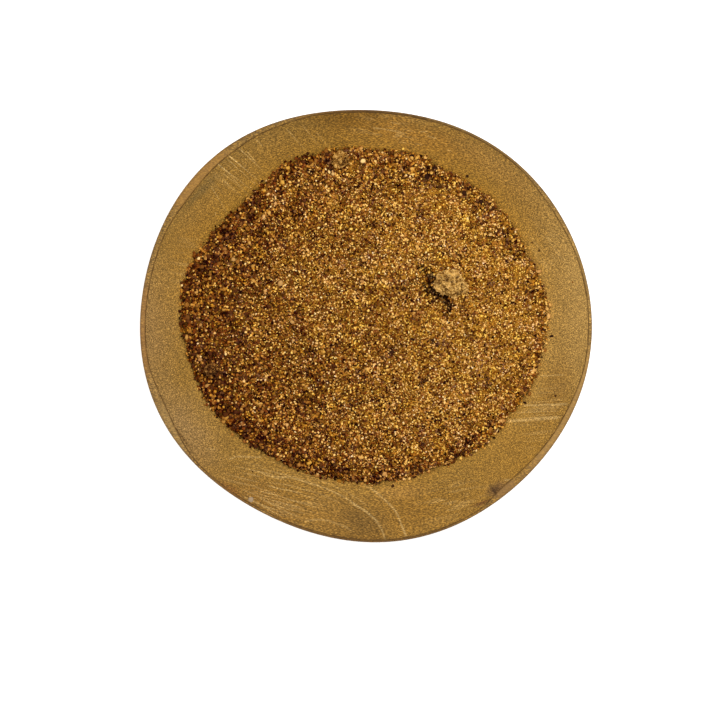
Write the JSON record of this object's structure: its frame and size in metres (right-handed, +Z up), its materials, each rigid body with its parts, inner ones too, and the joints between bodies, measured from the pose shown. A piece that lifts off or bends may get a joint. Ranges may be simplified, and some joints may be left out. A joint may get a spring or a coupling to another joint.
{
  "type": "bowl of ground nutmeg",
  "caption": "Coarse ground nutmeg, banked and uneven with a caked lump on top, filling a small shallow hand-carved wooden bowl with a flat foot.",
  "frame": {"origin": "on the ground, under the middle of the bowl's box", "axes": "+Z up, +X to the right and +Y to the back as the bowl is seen from its front"},
  "size_m": [0.0802, 0.0766, 0.026],
  "materials": {
    "carved_wood": "bare olive-brown hardwood, hand carved, sanded and dry",
    "nutmeg_powder": "dry coarse grains, golden tan with dark brown and pale cream bits",
    "caked_nutmeg": "dry fine powder caked to a lump, paler tan"
  },
  "bodies": {
    "root": {"bowl": "carved_wood", "ground_nutmeg": "nutmeg_powder", "caked_lump": "caked_nutmeg"}
  },
  "joints": []
}
